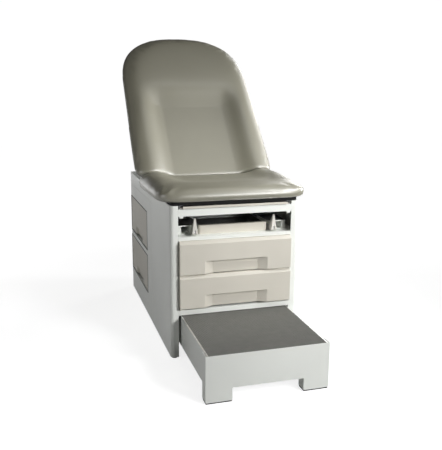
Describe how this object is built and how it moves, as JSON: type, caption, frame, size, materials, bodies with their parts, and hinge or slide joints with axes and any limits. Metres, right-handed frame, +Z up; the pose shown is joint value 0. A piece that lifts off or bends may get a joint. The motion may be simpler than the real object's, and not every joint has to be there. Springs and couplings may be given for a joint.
{
  "type": "medical exam table",
  "caption": "Cabinet exam table with dished seat and back cushions, gas-sprung back, pull-out step and foot extension, stirrups, pan and drawers that open to front and sides.",
  "frame": {"origin": "on the floor, under the middle of the table's overall length with its step pulled out, and midway between its sides", "axes": "+Z up; -Y towards the front, where the step pulls out; +X to the right of someone who faces the front"},
  "size_m": [0.7296, 1.6421, 1.4882],
  "materials": {
    "white_paint": "satin",
    "beige_moulding": "satin",
    "taupe_vinyl": "satin",
    "black_board": "matte",
    "black_paint": "satin",
    "zinc_steel": "satin",
    "stainless": "polished",
    "aluminium_trim": "satin",
    "dark_rubber": "matte",
    "tread_rubber": "matte"
  },
  "bodies": {
    "cabinet": {"side_panel_left": "white_paint", "side_panel_right": "white_paint", "rear_panel": "white_paint", "front_top_rail": "white_paint", "stirrup_shelf": "white_paint", "drawer_sill": "white_paint", "mid_bulkhead": "zinc_steel", "rear_deck": "white_paint", "side_bay_shelf_lower": "zinc_steel", "side_bay_shelf_upper": "zinc_steel", "glide_front_left": "dark_rubber", "glide_front_right": "dark_rubber", "glide_rear_left": "dark_rubber", "glide_rear_right": "dark_rubber", "drawer_runner_upper_left": "zinc_steel", "drawer_runner_upper_right": "zinc_steel", "drawer_runner_lower_left": "zinc_steel", "drawer_runner_lower_right": "zinc_steel", "step_guide_left": "zinc_steel", "step_guide_right": "zinc_steel", "stirrup_housing_left": "white_paint", "stirrup_housing_right": "white_paint", "extension_slide_left": "zinc_steel", "extension_slide_right": "zinc_steel", "seat_board": "black_board", "seat_cushion": "taupe_vinyl", "hinge_rail": "zinc_steel", "hinge_pin_left": "zinc_steel", "hinge_pin_right": "zinc_steel"},
    "back": {"back_cushion": "taupe_vinyl", "back_board": "black_board", "back_frame": "zinc_steel"},
    "handle": {"release_handle": "zinc_steel"},
    "spring_cylinder": {"gas_spring_cylinder": "black_paint"},
    "spring_rod": {"gas_spring_rod": "stainless"},
    "extension": {"extension_tray": "beige_moulding", "extension_pad": "taupe_vinyl"},
    "stirrup_left": {"stirrup_arm_left": "zinc_steel"},
    "stirrup_right": {"stirrup_arm_right": "zinc_steel"},
    "heel_left": {"heel_rest_left": "white_paint"},
    "heel_right": {"heel_rest_right": "white_paint"},
    "pan": {"pan_front": "beige_moulding", "treatment_pan": "stainless"},
    "drawer_upper": {"drawer_front_upper": "beige_moulding", "drawer_box_upper": "zinc_steel"},
    "drawer_lower": {"drawer_front_lower": "beige_moulding", "drawer_box_lower": "zinc_steel"},
    "side_drawer_upper": {"side_drawer_box_upper": "zinc_steel", "side_drawer_front_upper_left": "beige_moulding", "side_drawer_front_upper_right": "beige_moulding"},
    "side_drawer_lower": {"side_drawer_box_lower": "zinc_steel", "side_drawer_front_lower_left": "beige_moulding", "side_drawer_front_lower_right": "beige_moulding"},
    "step": {"step_apron": "white_paint", "step_body": "white_paint", "step_tread": "tread_rubber", "step_trim_left": "aluminium_trim", "step_trim_right": "aluminium_trim", "step_foot_left": "dark_rubber", "step_foot_right": "dark_rubber"}
  },
  "joints": [
    {"name": "back_tilt", "type": "hinge", "parent": "cabinet", "child": "back", "pos_m": [0, 0.1339, 0.762], "axis": [1, 0, 0], "range_deg": [-47, 28]},
    {"name": "spring_pivot", "type": "hinge", "parent": "cabinet", "child": "spring_cylinder", "pos_m": [0, 0.1539, 0.672], "axis": [1, 0, 0], "range_deg": [-43, 26]},
    {"name": "spring_stroke", "type": "slide", "parent": "spring_cylinder", "child": "spring_rod", "axis": [0, 0.7736, 0.6337], "range_m": [-0.069, 0.041]},
    {"name": "release_handle", "type": "hinge", "parent": "back", "child": "handle", "pos_m": [0, 0.6226, 1.2019], "axis": [1, 0, 0], "range_deg": [0, 6], "stiffness_Nm_per_rad": 5, "springref_deg": -5.73},
    {"name": "extension_slide", "type": "slide", "parent": "cabinet", "child": "extension", "axis": [0, -1, 0], "range_m": [0, 0.36]},
    {"name": "stirrup_left_slide", "type": "slide", "parent": "cabinet", "child": "stirrup_left", "axis": [0, -1, 0], "range_m": [0, 0.38]},
    {"name": "stirrup_right_slide", "type": "slide", "parent": "cabinet", "child": "stirrup_right", "axis": [0, -1, 0], "range_m": [0, 0.38]},
    {"name": "heel_left_fold", "type": "hinge", "parent": "stirrup_left", "child": "heel_left", "pos_m": [-0.188, -0.3421, 0.588], "axis": [1, 0, 0], "range_deg": [0, 85]},
    {"name": "heel_right_fold", "type": "hinge", "parent": "stirrup_right", "child": "heel_right", "pos_m": [0.188, -0.3421, 0.588], "axis": [1, 0, 0], "range_deg": [0, 85]},
    {"name": "pan_slide", "type": "slide", "parent": "cabinet", "child": "pan", "axis": [0, -1, 0], "range_m": [0, 0.25]},
    {"name": "drawer_upper_slide", "type": "slide", "parent": "cabinet", "child": "drawer_upper", "axis": [0, -1, 0], "range_m": [0, 0.42]},
    {"name": "drawer_lower_slide", "type": "slide", "parent": "cabinet", "child": "drawer_lower", "axis": [0, -1, 0], "range_m": [0, 0.42]},
    {"name": "side_drawer_upper_slide", "type": "slide", "parent": "cabinet", "child": "side_drawer_upper", "axis": [1, 0, 0], "range_m": [-0.4, 0.4]},
    {"name": "side_drawer_lower_slide", "type": "slide", "parent": "cabinet", "child": "side_drawer_lower", "axis": [1, 0, 0], "range_m": [-0.4, 0.4]},
    {"name": "step_slide", "type": "slide", "parent": "cabinet", "child": "step", "axis": [0, 1, 0], "range_m": [0, 0.452]}
  ],
  "couplings": [
    {"joint": "spring_pivot", "follows": "back_tilt", "ratio": 0.9052},
    {"joint": "spring_stroke", "follows": "back_tilt", "m_per_rad": 0.083}
  ]
}
